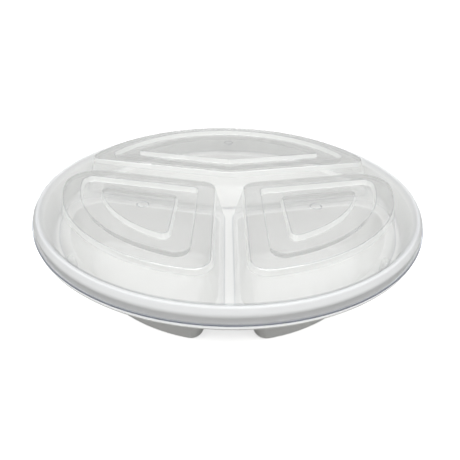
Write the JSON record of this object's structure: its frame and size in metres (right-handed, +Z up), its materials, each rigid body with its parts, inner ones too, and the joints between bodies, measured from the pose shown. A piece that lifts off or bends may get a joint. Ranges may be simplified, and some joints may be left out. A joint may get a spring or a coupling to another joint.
{
  "type": "compartment food container",
  "caption": "Round lidded food container: white compartment tray with a rolled rim and feet, and a clear lift-off lid with a raised, grooved dome over each compartment.",
  "frame": {"origin": "centre of the plane the tray's feet rest on, under the middle of the rim", "axes": "+Z up, +X to the right and +Y to the back, with the pair of smaller compartments at the front"},
  "size_m": [0.2286, 0.2286, 0.0522],
  "materials": {
    "tray": "smooth, white, opaque",
    "lid": "clear, glossy"
  },
  "bodies": {
    "tray": {"base_tray": "tray"},
    "lid": {"lid": "lid"}
  },
  "joints": [
    {"name": "lid_lift", "type": "slide", "parent": "tray", "child": "lid", "axis": [0, 0, 1], "range_m": [0, 0.06]}
  ]
}
